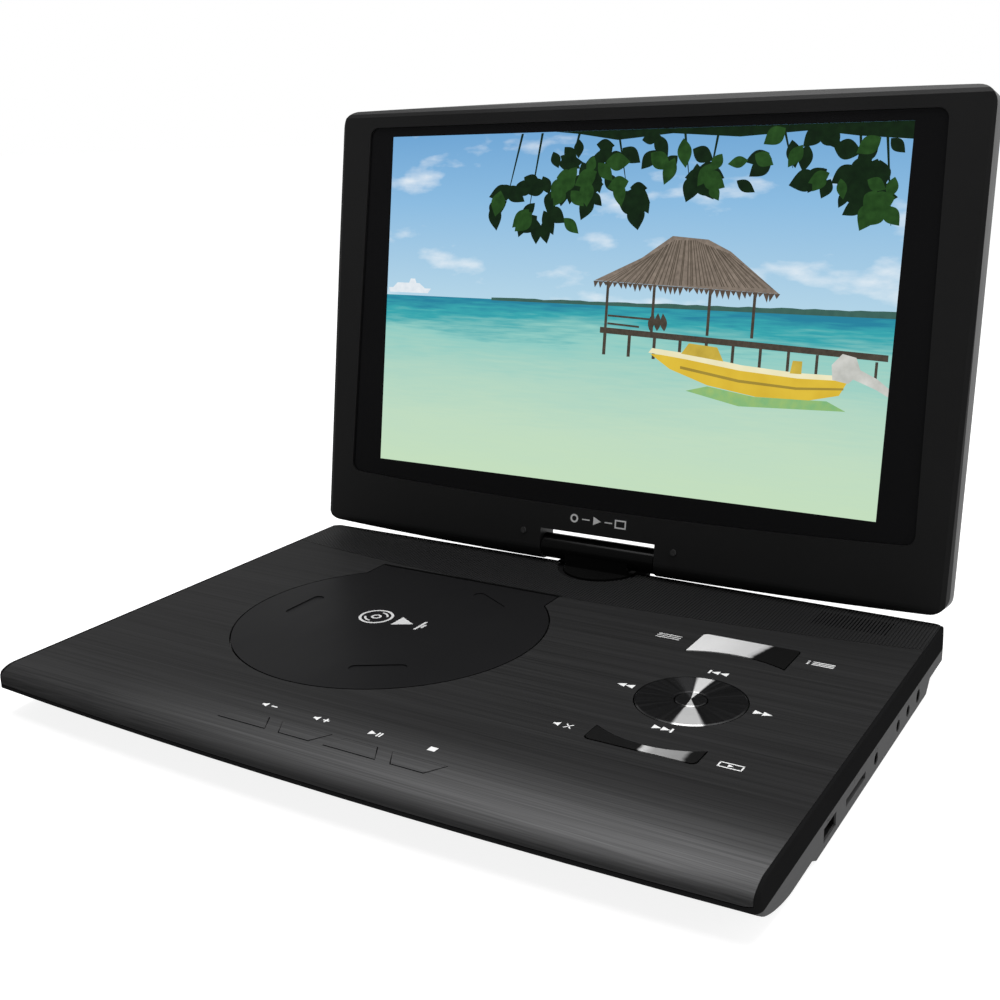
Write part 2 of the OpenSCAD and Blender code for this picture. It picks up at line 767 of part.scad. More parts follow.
// Outline of the screen's front view, t inside its edge
function lid_outline(t) =
  let (wl = lid_half_low - t, wt = lid_half_top - t, r = lid_r,
       vl = -lid_low + lid_rise + t, vt = lid_top - 1.4 - t)
  concat(
    arc(wl - r, vl + r, r, -90, 0),
    arc(wt - r, vt - r, r, 0, 90),
    [for (i = [1:15]) let (u = 1 - i/8) [u*(wt - r), vt + 1.4*(1 - u*u)]],
    arc(-wt + r, vt - r, r, 90, 180),
    arc(-wl + r, vl + r, r, 180, 270),
    [for (i = [1:15]) let (u = i/8 - 1) [u*(wl - r), vl - lid_rise*(1 - u*u)]]);

// Side view of the screen, as (y, z): bevelled top, round foot
function lid_side(t) =
  let (f = -lid_front + t, b = lid_back - t, top = lid_top - t)
  concat(
    [[f, 0], [f, top - 5.2], [f + 0.7, top - 3.2], [f + 2.4, top - 1.1], [f + 4.6, top + 0.2],
     [b - 3, top + 0.2], [b - 0.9, top - 1], [b, top - 3.2], [b, 0]],
    [for (i = [1:15]) let (a = 180*i/16)
      [(b + f)/2 + (b - f)/2*cos(a), -(lid_low - t)*sin(a)]]);

// Plan of the screen, as (x, y): softened side edges
function lid_plan(t) =
  let (w = lid_half_low - t, f = -lid_front + t, b = lid_back - t)
  [[w - 3.4, f], [w - 1.2, f + 0.8], [w, f + 3.2], [w, b - 2.6], [w - 0.9, b - 0.8], [w - 3, b],
   [3 - w, b], [0.9 - w, b - 0.8], [-w, b - 2.6], [-w, f + 3.2], [1.2 - w, f + 0.8], [3.4 - w, f]];

module lid_form(t) {
  intersection() {
    slab(-20, 20) polygon(lid_outline(t));
    across(400) polygon(lid_side(t));
    translate([0, 0, -20]) linear_extrude(300) polygon(lid_plan(t));
  }
}

// Outline of the sunk window round the display
function window_outline(t) =
  let (wl = 162 - t, wt = 158 - t, r = 5, vl = 26.9 + t, vt = 221.9 - t)
  concat(
    arc(wl - r, vl + r, r, -90, 0, 6),
    arc(wt - r, vt - r, r, 0, 90, 6),
    arc(-wt + r, vt - r, r, 90, 180, 6),
    arc(-wl + r, vl + r, r, 180, 270, 6),
    [for (i = [1:15]) let (u = i/8 - 1) [u*(wl - r), vl - 3.6*(1 - u*u)]]);

module display_outline(t) {
  translate([-display_w/2 - t, display_v - t]) square([display_w + 2*t, display_h + 2*t]);
}

// Space inside the screen, with a pocket beside each end of the barrel
module lid_space() {
  intersection() {
    lid_form(2);
    box([-200, -3.4, 14], [200, lid_back - 2, 300]);
  }
  for (s = [-1, 1]) {
    rod_x(s*47.5 - 11.5, s*47.5 + 11.5, 0, 0, 5.3);
    box([s*47.5 - 11.5, -2, 0], [s*47.5 + 11.5, 3, 20]);
  }
}

module lid_notch() {
  box([-notch_half, -20, -20], [notch_half, 20, notch_v]);
  rod_x(-56, 56, 0, 0, shaft_r + 0.1);
}

module lid_bezel() {
  color([0.14, 0.14, 0.14]) on_tilt() difference() {
    intersection() {
      lid_form(0);
      box([-200, -20, -20], [200, 0, 300]);
    }
    lid_space();
    lid_notch();
    slab(-20, -lid_front + recess + mask_t) polygon(window_outline(0));
    slab(-20, 0) translate([-148.5, 31]) square([297, 190]);
    for (s = [-1, 1]) translate([s*44, -lid_front + 1.2, 7.3]) rotate([90, 0, 0])
      cylinder(h = 5, r = 1.7, $fn = 32);
  }
}

module lid_cover() {
  color([0.12, 0.12, 0.12]) on_tilt() difference() {
    intersection() {
      lid_form(0);
      box([-200, 0, -20], [200, 20, 300]);
    }
    lid_space();
    lid_notch();
    for (p = [[-160, 20], [160, 20], [-160, 225], [160, 225]])
      translate([p[0], 0, p[1]]) rotate([-90, 0, 0]) {
        cylinder(h = 20, r = 1.2, $fn = 32);
        translate([0, 0, lid_back - 1.2]) cylinder(h = 5, r = 2.3, $fn = 32);
      }
  }
}

module window_mask() {
  color([0.02, 0.02, 0.02]) on_tilt() slab(-lid_front + recess, -lid_front + recess + mask_t) difference() {
    polygon(window_outline(0.15));
    display_outline(0);
  }
}

module lcd_panel() {
  color("steelblue") on_tilt() box([-147.5, -5.2, 32], [147.5, -2.8, 220]);
}

module light_guide() {
  color("aliceblue") on_tilt() box([-146, -2.7, 33.5], [146, 0.3, 218.5]);
}

module backlight_tray() {
  color("silver") on_tilt() difference() {
    box([-147.5, -2.8, 32], [147.5, 1, 220]);
    box([-146.2, -3, 33.3], [146.2, 0.35, 218.7]);
  }
}

module driver_board() {
  color("darkgreen") on_tilt() {
    box([-70, 2.2, 50], [60, 3.4, 88]);
    for (i = [0:3]) box([-56 + i*28, 3.3, 60], [-40 + i*28, 4.6, 74]);
  }
}

module tilt_shaft() {
  color("silver") on_tilt() rod_x(-55, 55, 0, 0, shaft_r);
}

module tilt_brackets() {
  color("gray") on_tilt() for (s = [-1, 1]) difference() {
    union() {
      rod_x(s*47.5 - 9, s*47.5 + 9, 0, 0, 5);
      box([s*47.5 - 9, 0.4, 0], [s*47.5 + 9, 2.4, 18.5]);
    }
    rod_x(-60, 60, 0, 0, shaft_r + 0.02);
  }
}

module lid_bumpers() {
  color("black") on_tilt() for (s = [-1, 1]) translate([s*44, -lid_front + 1.2, 7.3]) rotate([90, 0, 0])
    cylinder(h = 1.7, r = 1.6, $fn = 32);
}

module lid_screws() {
  color("silver") on_tilt() for (p = [[-160, 20], [160, 20], [-160, 225], [160, 225]])
    translate([p[0], 0, p[1]]) rotate([-90, 0, 0]) difference() {
      union() {
        translate([0, 0, 5.5]) cylinder(h = 0.5, r = 1.1, $fn = 32);
        translate([0, 0, lid_back - 1.2]) cylinder(h = 0.9, r = 2.2, $fn = 32);
      }
      box([-1.6, -0.3, lid_back - 0.8], [1.6, 0.3, 9]);
    }
}

// The datum of the drawing lies behind the middle of the bounding box
translate([0, origin_y, 0]) {
bottom_shell();
top_shell();
deck_plate();
rear_band();
disc_well();
loader_frame();
guide_rods();
sled_motor();
spindle_motor();
chassis_dampers();
main_board();
board_chips();
key_board();
key_switches();
front_key_board();
battery_cells();
left_speaker();
right_speaker();
dc_jack();
av_in_jack();
av_out_jack();
phone_jack();
card_slot();
usb_socket();
rubber_feet();
shell_screws();
door_magnet();
hinge_mount();
turret();
turret_ring();
lid_bezel();
lid_cover();
window_mask();
lcd_panel();
light_guide();
backlight_tray();
driver_board();
tilt_shaft();
tilt_brackets();
lid_bumpers();
lid_screws();
disc_door();
door_pins();
door_strike();
turntable();
hub_clips();
pickup_sled();
pickup_lens();
lead_screw();
nav_carrier();
nav_ring();
enter_key();
setup_menu_key();
mute_mode_key();
vol_down_key();
vol_up_key();
play_key();
stop_key();
power_switch();
}
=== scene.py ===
import json
import random
from math import cos, pi, radians, sin

import bmesh
import bpy
from mathutils import Matrix, Vector


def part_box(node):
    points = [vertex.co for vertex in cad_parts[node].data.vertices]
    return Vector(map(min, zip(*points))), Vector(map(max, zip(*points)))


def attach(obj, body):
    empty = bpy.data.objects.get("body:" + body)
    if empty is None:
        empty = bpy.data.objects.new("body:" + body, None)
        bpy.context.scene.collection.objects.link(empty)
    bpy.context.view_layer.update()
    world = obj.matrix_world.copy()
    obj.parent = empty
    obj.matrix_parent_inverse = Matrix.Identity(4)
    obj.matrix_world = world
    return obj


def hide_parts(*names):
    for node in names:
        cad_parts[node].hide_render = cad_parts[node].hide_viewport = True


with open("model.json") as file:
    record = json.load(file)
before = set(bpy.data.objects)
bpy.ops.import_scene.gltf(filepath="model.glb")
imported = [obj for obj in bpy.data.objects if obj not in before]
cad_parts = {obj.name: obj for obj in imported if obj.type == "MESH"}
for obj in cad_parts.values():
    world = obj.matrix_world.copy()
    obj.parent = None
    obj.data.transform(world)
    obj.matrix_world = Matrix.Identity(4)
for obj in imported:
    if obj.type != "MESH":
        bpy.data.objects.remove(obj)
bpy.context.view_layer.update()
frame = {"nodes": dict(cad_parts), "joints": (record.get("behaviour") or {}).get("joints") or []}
NODES = frame["nodes"]
JOINTS = {j["name"]: j for j in frame["joints"]}
MM = 0.001

# Heights and lines that the pieces share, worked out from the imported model
DECK_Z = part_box("deck_plate")[1].z / MM
SIDE_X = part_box("bottom_shell")[1].x / MM
TILT = Vector(JOINTS["screen_tilt"]["pos_m"])
# Places on the base are measured from a datum 96 mm in front of the tilt axis
DATUM_Y = TILT.y / MM - 96
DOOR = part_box("disc_door")
DOOR_X = (DOOR[0].x + DOOR[1].x) / 2 / MM
DOOR_Y = DOOR[0].y / MM + (DOOR[1].x - DOOR[0].x) / 2 / MM - DATUM_Y
# The gap round the disc door, which the ribbed band keeps clear
DOOR_GAP = 0.8
NAV = (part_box("nav_ring")[0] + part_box("nav_ring")[1]) / 2 / MM - Vector((0, DATUM_Y, 0))
# The screen leans back by this much at rest
LEAN = radians(9.151)
LID_UP = Vector((0, sin(LEAN), cos(LEAN)))
LID_OUT = Vector((0, -cos(LEAN), sin(LEAN)))

# The screen, measured from the tilt axis: across, up the screen, and out of its face
FACE_OUT = 7.0
GLASS_OUT = 5.2
PICTURE_LOW = 35.9
PICTURE_HIGH = 216.9
PICTURE_HALF = 143.25
PICTURE_W = 2 * PICTURE_HALF
PICTURE_H = PICTURE_HIGH - PICTURE_LOW
# In the picture: the share of its height under the horizon, the pier's height above its lower
# edge, and how far the pier and its shelter are moved along
HORIZON = 0.52
PIER_Y = 81
ASHORE = 8.8

# How far printed ink stands on its surface
INK = 0.03


def on_deck(a, b, h=0.0):
    """A point of the deck: across, front to back, and above it, in millimetres."""
    return Vector((a, b + DATUM_Y, DECK_Z + h)) * MM


def on_screen(a, b, h=0.0):
    """A point of the screen's face: across, up it, and out of it, in millimetres."""
    return TILT + Vector((a, 0, 0)) * MM + LID_UP * b * MM + LID_OUT * (FACE_OUT + h) * MM


def on_side(a, b, h=0.0):
    """A point of the base's right side: towards the rear, up, and out of it."""
    return Vector((SIDE_X + h, a + DATUM_Y, b)) * MM


# ---------- camera, light and floor ----------

def make_camera():
    """Stands in front of the player to its right, and a little above it."""
    azimuth, elevation, roll = radians(32.038), radians(16.078), radians(-1.7685)
    place = (0.2917, -0.4626, 0.2434)
    forward = Vector((-sin(azimuth) * cos(elevation), cos(azimuth) * cos(elevation),
                      -sin(elevation)))
    level = Vector((cos(azimuth), sin(azimuth), 0))
    upright = level.cross(forward)
    right = cos(roll) * level + sin(roll) * upright
    up = cos(roll) * upright - sin(roll) * level
    data = bpy.data.cameras.new("camera")
    data.sensor_width = 36
    data.lens = 45.38
    data.clip_start = 0.01
    camera = bpy.data.objects.new("camera", data)
    bpy.context.scene.collection.objects.link(camera)
    turn = Matrix((right, up, -forward)).transposed().to_4x4()
    camera.matrix_world = Matrix.Translation(place) @ turn
    bpy.context.scene.camera = camera


def area_light(name, place, aim, size, power):
    data = bpy.data.lights.new(name, "AREA")
    data.shape = "RECTANGLE"
    data.size, data.size_y = size
    data.energy = power
    light = bpy.data.objects.new(name, data)
    bpy.context.scene.collection.objects.link(light)
    look = Vector(aim) - Vector(place)
    turn = look.to_track_quat("-Z", "Y").to_matrix().to_4x4()
    light.matrix_world = Matrix.Translation(place) @ turn


def make_lights():
    world = bpy.data.worlds.new("studio")
    world.use_nodes = True
    nodes, links = world.node_tree.nodes, world.node_tree.links
    # A white backdrop behind the player fades to a dim room in front of it. Where the floor
    # ends, views from the sides and from behind show it as a grey band or a gradient.
    split = nodes.new("ShaderNodeSeparateXYZ")
    links.new(nodes.new("ShaderNodeTexCoord").outputs["Generated"], split.inputs["Vector"])
    fade = nodes.new("ShaderNodeMapRange")
    fade.interpolation_type = "SMOOTHSTEP"
    fade_from, fade_to, dim, white = -0.3, 0.45, 0.16, 1.0
    for k, value in enumerate((fade_from, fade_to, dim, white), 1):
        fade.inputs[k].default_value = value
    links.new(split.outputs["Y"], fade.inputs["Value"])
    links.new(fade.outputs["Result"], nodes["Background"].inputs["Strength"])
    nodes["Background"].inputs["Color"].default_value = (1, 1, 1, 1)
    bpy.context.scene.world = world
    area_light("overhead", (0.0, 0.1, 1.5), (0, 0, 0), (1.6, 1.4), 26)
    area_light("right_card", (1.3, -0.1, 0.5), (0.1, 0, 0.05), (0.5, 0.5), 1.5)


def make_floor():
    """Pale and faintly lit from within, and hidden from the player's glossy faces."""
    bm = bmesh.new()
    bmesh.ops.create_grid(bm, x_segments=1, y_segments=1, size=60)
    floor = add_mesh("floor", bm)
    floor.data.materials.append(plain("floor_pale", (0.4, 0.4, 0.4), 0.7, 0.85))
    floor.visible_glossy = False


def add_mesh(name, bm):
    mesh = bpy.data.meshes.new(name)
    bm.to_mesh(mesh)
    bm.free()
    piece = bpy.data.objects.new(name, mesh)
    bpy.context.scene.collection.objects.link(piece)
    return piece


# ---------- materials ----------

class Shader:
    """One procedural material, built up node by node on a Principled shader."""

    def __init__(self, name, rough=0.5, metal=0.0, gloss=0.25, **fixed):
        self.material = bpy.data.materials.new(name)
        self.material.use_nodes = True
        self.tree = self.material.node_tree
        self.surface = self.tree.nodes["Principled BSDF"]
        self.surface.inputs["Roughness"].default_value = rough
        self.surface.inputs["Metallic"].default_value = metal
        self.surface.inputs["Specular IOR Level"].default_value = gloss
        for socket, value in fixed.items():
            self.surface.inputs[socket.replace("_", " ")].default_value = value

    def add(self, kind, **inputs):
        node = self.tree.nodes.new(kind)
        for socket, value in inputs.items():
            self.put(node, socket.replace("_", " "), value)
        return node

    def put(self, node, socket, value):
        if isinstance(value, bpy.types.NodeSocket):
            self.tree.links.new(value, node.inputs[socket])
        else:
            node.inputs[socket].default_value = value

    def place(self, scale=(1, 1, 1), shift=(0, 0, 0), source="Object"):
        """Row-frame coordinates, or with source="UV" the sheet's own, stretched and shifted."""
        mapping = self.add("ShaderNodeMapping", Scale=scale, Location=shift)
        coordinates = self.add("ShaderNodeTexCoord")
        self.tree.links.new(coordinates.outputs[source], mapping.inputs["Vector"])
        return mapping.outputs["Vector"]

    def split(self, where):
        """The X, Y and Z of a place."""
        parts = self.add("ShaderNodeSeparateXYZ", Vector=where).outputs
        return parts["X"], parts["Y"], parts["Z"]

    def noise(self, where, scale, detail=3.0):
        node = self.add("ShaderNodeTexNoise", Vector=where, Scale=scale, Detail=detail)
        return node.outputs["Fac"]

    def span(self, value, low, high, to_low=0.0, to_high=1.0):
        node = self.add("ShaderNodeMapRange")
        for k, v in enumerate((value, low, high, to_low, to_high)):
            self.put(node, k, v)
        return node.outputs["Result"]

    def maths(self, what, a, b=0.0):
        node = self.tree.nodes.new("ShaderNodeMath")
        node.operation = what
        self.put(node, 0, a)
        self.put(node, 1, b)
        return node.outputs["Value"]

    def ramp(self, value, stops, smooth="LINEAR"):
        node = self.add("ShaderNodeValToRGB", Fac=value)
        node.color_ramp.interpolation = smooth
        points = node.color_ramp.elements
        while len(points) < len(stops):
            points.new(0.5)
        for point, (at, colour) in zip(points, stops):
            point.position = at
            point.color = (*colour, 1)
        return node.outputs["Color"]

    def two_tones(self, value, a, b):
        return self.ramp(value, [(0.0, a), (1.0, b)])

    def blend(self, share, a, b):
        """Colour a, giving way to colour b as share goes from 0 to 1."""
        node = self.add("ShaderNodeMix")
        node.data_type = "RGBA"
        # Inputs 6 and 7 are the colours of the node's RGBA mode
        for k, value in ((0, share), (6, a), (7, b)):
            self.put(node, k, value)
        return node.outputs[2]

    def paint(self, colour):
        fixed = not isinstance(colour, bpy.types.NodeSocket)
        self.put(self.surface, "Base Color", (*colour, 1) if fixed else colour)

    def vary_rough(self, value, low, high, to_low, to_high):
        self.put(self.surface, "Roughness", self.span(value, low, high, to_low, to_high))

    def bump(self, height, depth, strength):
        node = self.add("ShaderNodeBump", Height=height, Strength=strength, Distance=depth)
        self.tree.links.new(node.outputs["Normal"], self.surface.inputs["Normal"])


def scaled(colour, k):
    return tuple(c * k for c in colour)


def plain(name, colour, rough, lift):
    """A matt surface that glows by lift."""
    shader = Shader(name, rough, gloss=0.0, Emission_Strength=lift, Emission_Color=(1, 1, 1, 1))
    tone = shader.noise(shader.place(), 6)
    shader.paint(shader.two_tones(tone, colour, scaled(colour, 0.985)))
    return shader.material


def moulded(name, colour, rough=0.5, grain=2600, depth=0.00003, **fixed):
    """Moulded plastic: a fine spark-eroded grain, with slight changes of tone and gloss."""
    shader = Shader(name, rough, **fixed)
    where = shader.place()
    fine = shader.noise(where, grain, 2)
    broad = shader.noise(where, 14, 4)
    shader.paint(shader.two_tones(broad, scaled(colour, 0.88), scaled(colour, 1.12)))
    shader.vary_rough(broad, 0.3, 0.7, rough - 0.05, rough + 0.05)
    shader.bump(fine, depth, 0.35)
    return shader.material


def lacquered(name, colour, rough=0.12, haze=0.06, gloss=0.3):
    """Polished plastic with faint handling haze."""
    shader = Shader(name, rough, gloss=gloss)
    where = shader.place()
    smear = shader.noise(shader.place((30, 12, 30)), 1.3, 5)
    tone = shader.noise(where, 20)
    shader.paint(shader.two_tones(tone, scaled(colour, 0.9), scaled(colour, 1.1)))
    shader.vary_rough(smear, 0.35, 0.75, rough, rough + haze)
    shader.bump(shader.noise(where, 90, 2), 0.00004, 0.05)
    return shader.material


def brushed(name, colour):
    """Fine parallel brush lines across the deck.

    The finish is painted lighter where the deck starts to turn down, most of all towards the
    right, as in the photo. The lights don't make that sheen.
    """
    rough, contrast, brightest = 0.55, 0.33, 5.6
    shader = Shader(name, rough, 0.0, gloss=0.01)
    fine = shader.noise(shader.place((12, 1700, 1700)), 1.0, 3)
    coarse = shader.noise(shader.place((5, 520, 520)), 1.0, 2)
    mixed = shader.maths("ADD", shader.maths("MULTIPLY", fine, 0.6),
                         shader.maths("MULTIPLY", coarse, 0.4))
    lines = shader.ramp(mixed, [(0.3, scaled(colour, 1 - contrast)),
                                (0.7, scaled(colour, 1 + contrast))])
    across, back, up = shader.split(shader.place())
    forward = shader.span(back, (DATUM_Y - 100) * MM, (DATUM_Y - 143) * MM)
    rightward = shader.span(across, -120 * MM, 150 * MM, 0.1, 1.0)
    not_low = shader.span(up, (DECK_Z - 5) * MM, (DECK_Z - 0.6) * MM, 0.1, 1.0)
    sheen = shader.maths("MULTIPLY", shader.maths("POWER", forward, 1.7),
                         shader.maths("MULTIPLY", rightward, not_low))
    lift = shader.add("ShaderNodeVectorMath", Vector=lines)
    lift.operation = "SCALE"
    shader.put(lift, "Scale", shader.span(sheen, 0, 1, 1.0, brightest))
    shader.paint(lift.outputs["Vector"])
    shader.vary_rough(mixed, 0.3, 0.7, rough - 0.05, rough + 0.07)
    shader.bump(mixed, 0.00005, 0.3)
    return shader.material


def metal(name, colour, rough=0.3):
    """Bare metal with a slight cloudiness."""
    grain = 180
    shader = Shader(name, rough, 1.0)
    where = shader.place()
    spots = shader.noise(where, grain, 4)
    shader.paint(shader.two_tones(spots, scaled(colour, 0.85), scaled(colour, 1.08)))
    shader.vary_rough(spots, 0.3, 0.7, rough - 0.06, rough + 0.08)
    shader.bump(shader.noise(where, grain * 5, 2), 0.00002, 0.2)
    return shader.material


def soft_rubber(name):
    colour = (0.02, 0.02, 0.02)
    shader = Shader(name, 0.8, Sheen_Weight=0.15)
    where = shader.place()
    shader.paint(shader.two_tones(shader.noise(where, 60), colour, scaled(colour, 1.5)))
    shader.bump(shader.noise(where, 1400, 4), 0.00006, 0.5)
    return shader.material


def circuit(name):
    """Green solder mask over copper tracks."""
    shader = Shader(name, 0.3)
    tracks = shader.add("ShaderNodeTexBrick", Vector=shader.place((160, 160, 160)), Scale=1.0)
    tracks.inputs["Mortar Size"].default_value = 0.035
    tracks.inputs["Color1"].default_value = (0.008, 0.075, 0.03, 1)
    tracks.inputs["Color2"].default_value = (0.006, 0.06, 0.025, 1)
    tracks.inputs["Mortar"].default_value = (0.03, 0.16, 0.06, 1)
    shader.paint(tracks.outputs["Color"])
    shader.bump(tracks.outputs["Fac"], 0.00003, 0.3)
    return shader.material


def printed(name, colour):
    """Screen-printed ink."""
    shader = Shader(name, 0.55)
    speckle = shader.noise(shader.place(), 900, 2)
    shader.paint(shader.two_tones(speckle, scaled(colour, 0.9), colour))
    return shader.material


def shining(name):
    """A part of the lit picture: pure glow under the display's satin surface."""
    shader = Shader(name, 0.35, Emission_Strength=1.0)
    shader.paint((0.0, 0.0, 0.0))
    return shader


def spun(name, colour):
    """Metal turned on a lathe: rings round the pad's middle, and a fan of painted sheen in the
    colour.

    The bright wedges are painted in, at the angles where the photo shows them.
    """
    shader = Shader(name, 0.24, 0.4)
    middle = (-NAV.x * MM, -(NAV.y + DATUM_Y) * MM, 0)
    across, back, _ = shader.split(shader.place(shift=middle))
    angle = shader.maths("ARCTAN2", back, across)
    radius = shader.maths("SQRT", shader.maths(
        "ADD", shader.maths("POWER", across, 2), shader.maths("POWER", back, 2)))
    around = shader.add("ShaderNodeCombineXYZ", X=shader.maths("SINE", angle),
                        Y=shader.maths("COSINE", angle))
    # Painted sheen: noisy streaks fanning round the middle, lighter in the colour
    painted_sheen_streaks = shader.maths("POWER", shader.noise(around.outputs["Vector"], 9, 3), 3)
    painted_highlight_level = shader.maths("MULTIPLY", painted_sheen_streaks, 0.35)
    # Painted highlights: one bright wedge runs back from the middle, with a dim one beside it, and
    # a wider one runs forward. Each is given by its direction, its full half-width, its faded one
    # and its level.
    for towards, inner, outer, level in ((97, 7, 12, 1.0), (118, 6, 17, 0.3), (-70, 13, 19, 0.8)):
        near = shader.maths("COSINE", shader.maths("SUBTRACT", angle, radians(towards)))
        lobe = shader.span(near, cos(radians(outer)), cos(radians(inner)), 0.0, level)
        painted_highlight_level = shader.maths("MAXIMUM", painted_highlight_level, lobe)
    shader.paint(shader.ramp(painted_highlight_level, [(0.0, scaled(colour, 0.5)), (0.3, scaled(colour, 2.5)),
                                          (1.0, (0.9, 0.9, 0.9))]))
    outward = shader.add("ShaderNodeCombineXYZ", X=shader.maths("MULTIPLY", radius, 9000))
    shader.bump(shader.noise(outward.outputs["Vector"], 1, 2), 0.00003, 0.4)
    return shader.material


def painted_reflection_key(name, centre, stops, slant):
    """A polished rocker key with a painted reflection, whose silver and dark ends meet along a
    slanted, softened line.
    """
    shader = Shader(name, 0.3, 0.3)
    place_x, place_y, _ = shader.split(shader.place())
    across = shader.maths("SUBTRACT", place_x, centre[0] * MM)
    back = shader.maths("SUBTRACT", place_y, (centre[1] + DATUM_Y) * MM)
    line = shader.maths("SUBTRACT", across, shader.maths("MULTIPLY", back, slant))
    along = shader.span(line, -24 * MM, 24 * MM)
    waver = shader.maths("MULTIPLY", shader.noise(shader.place((60, 300, 60)), 1.0, 2), 0.04)
    # The ramp paints the reflection into the base colour: bright silver running into dark along the
    # line
    shader.paint(shader.ramp(shader.maths("ADD", along, waver), stops, "EASE"))
    shader.bump(shader.noise(shader.place((40, 900, 40)), 1.0, 2), 0.00002, 0.15)
    return shader.material


# ---------- geometry helpers ----------

def close_plate(bm, base, top):
    """The faces of a closed plate between two outlines."""
    n = len(base)
    faces = [bm.faces.new(top), bm.faces.new(base[::-1])]
    for i in range(n):
        faces.append(bm.faces.new((base[i], base[(i + 1) % n], top[(i + 1) % n], top[i])))
    return faces


def prisms(name, outlines, where, body, material, low=0.0, high=INK):
    """Flat closed plates with the given outlines, on a face described by where."""
    bm = bmesh.new()
    for outline in outlines:
        base = [bm.verts.new(where(a, b, low)) for a, b in outline]
        top = [bm.verts.new(where(a, b, high)) for a, b in outline]
        close_plate(bm, base, top)
    bmesh.ops.recalc_face_normals(bm, faces=bm.faces)
    piece = add_mesh(name, bm)
    piece.data.materials.append(material)
    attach(piece, body)
    return piece


def bar(x, y, w, h):
    return [(x - w / 2, y - h / 2), (x + w / 2, y - h / 2), (x + w / 2, y + h / 2),
            (x - w / 2, y + h / 2)]


def wedge(x, y, w, h, way=1):
    """A triangle that points to the right, or with way=-1 to the left."""
    return [(x - way * w / 2, y - h / 2), (x + way * w / 2, y), (x - way * w / 2, y + h / 2)]


def disc(x, y, r, n):
    return [(x + r * cos(2 * pi * i / n), y + r * sin(2 * pi * i / n)) for i in range(n)]


def ring(x, y, outer, inner, n=32, start=0.0, sweep=2 * pi):
    """A ring as short straight segments, so that every plate stays convex."""
    segments = []
    for i in range(n):
        a, b = start + sweep * i / n, start + sweep * (i + 1) / n
        segments.append([(x + inner * cos(a), y + inner * sin(a)),
                         (x + outer * cos(a), y + outer * sin(a)),
                         (x + outer * cos(b), y + outer * sin(b)),
                         (x + inner * cos(b), y + inner * sin(b))])
    return segments


def speaker_sign(x, y):
    """A small loudspeaker: a box and a flared front."""
    return [bar(x - 1.5, y, 1.0, 1.2),
            [(x - 1.0, y - 0.6), (x + 0.6, y - 1.6), (x + 0.6, y + 1.6), (x - 1.0, y + 0.6)]]


# ---------- printed signs ----------

def deck_signs():
    """Plain signs beside the pad and the keys."""
    ink = printed("ink_white", (0.78, 0.78, 0.78))

    def put(name, outlines):
        prisms(name, outlines, on_deck, "base", ink)

    x, y = NAV.x, NAV.y
    # How far the four signs round the navigation pad stand from its middle
    reach = 30.2
    behind, ahead, west, east = y + reach, y - reach + 2, x - reach, x + reach
    put("sign_previous", [bar(x - 4.2, behind, 0.9, 3.4), wedge(x - 1.8, behind, 3.6, 3.4, -1),
                          wedge(x + 2.0, behind, 3.6, 3.4, -1)])
    put("sign_next", [bar(x + 4.2, ahead, 0.9, 3.4), wedge(x + 1.8, ahead, 3.6, 3.4),
                      wedge(x - 2.0, ahead, 3.6, 3.4)])
    put("sign_rewind", [wedge(west - 1.6, y + 1.2, 3.8, 3.6, -1),
                        wedge(west + 2.2, y + 1.2, 3.8, 3.6, -1)])
    put("sign_forward", [wedge(east - 2.4, y + 2, 3.8, 3.6), wedge(east + 1.4, y + 2, 3.8, 3.6)])
    # Sliders for the settings, a list for the menu, a crossed speaker and a framed picture
    sliders = [bar(71.7, 24 + 1.9 * i, 11.5, 0.55) for i in (-1, 0, 1)]
    knobs = [bar(69.5 + 2.6 * i, 24 + 1.9 * up, 1.2, 1.5) for i, up in ((-1, 1), (0, 0), (1, 1))]
    put("sign_settings", sliders + knobs)
    put("sign_menu", [bar(143.2, 24.7 + 1.5 * i, 9.5, 0.7) for i in (-1, 0, 1)]
        + [bar(136.6, 24.7 + 1.5 * i, 1.0, 0.8) for i in (-1, 0, 1)])
    cross = [[(73.0, -79.2), (73.7, -79.2), (76.6, -75.8), (75.9, -75.8)],
             [(75.9, -79.2), (76.6, -79.2), (73.7, -75.8), (73.0, -75.8)]]
    put("sign_mute", speaker_sign(70.2, -77.5) + cross)
    put("sign_mode", [bar(142, -78.2 + 1.7 * s, 9.6, 0.6) for s in (-1, 1)]
        + [bar(142 + 4.5 * s, -78.2, 0.6, 3.4) for s in (-1, 1)] + [wedge(142, -78.2, 2.2, 2.0)])
    # The four front keys' signs, in a row behind them
    row = -118.5
    quieter, louder, play, stop = [(-42.3 + 27.03 * i) for i in range(4)]
    put("sign_volume_down", speaker_sign(quieter - 1.6, row) + [bar(quieter + 2.6, row, 3.0, 0.7)])
    put("sign_volume_up", speaker_sign(louder - 1.6, row)
        + [bar(louder + 2.6, row, 3.0, 0.7), bar(louder + 2.6, row + 0.95, 0.7, 1.2),
           bar(louder + 2.6, row - 0.95, 0.7, 1.2)])
    put("sign_play", [wedge(play - 1.2, row, 3.2, 3.2), bar(play + 1.4, row, 0.7, 3.2),
                      bar(play + 2.7, row, 0.7, 3.2)])
    put("sign_stop", [bar(stop, row, 3.4, 3.0)])


